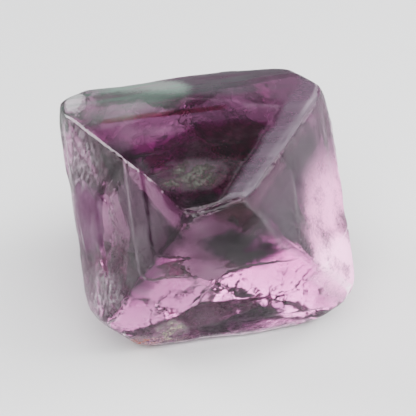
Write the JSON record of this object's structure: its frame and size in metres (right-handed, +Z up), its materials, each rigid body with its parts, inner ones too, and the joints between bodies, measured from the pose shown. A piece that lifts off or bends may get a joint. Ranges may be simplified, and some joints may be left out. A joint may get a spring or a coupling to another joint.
{
  "type": "fluorite octahedron",
  "caption": "Small octahedral cleavage stone of clear lilac and purple banded fluorite, with blunt worn corners, lying on one flat face.",
  "frame": {"origin": "on the flat resting face, straight under the stone's centre", "axes": "+Z up, square to the resting face; one corner points to the front (-Y) and up, +X to the right"},
  "size_m": [0.0198, 0.0222, 0.0158],
  "materials": {
    "fluorite": "clear lilac to deep purple fluorite, satin cleavage faces with fine steps, whitish worn edges"
  },
  "bodies": {
    "root": {"fluorite_crystal": "fluorite"}
  },
  "joints": []
}
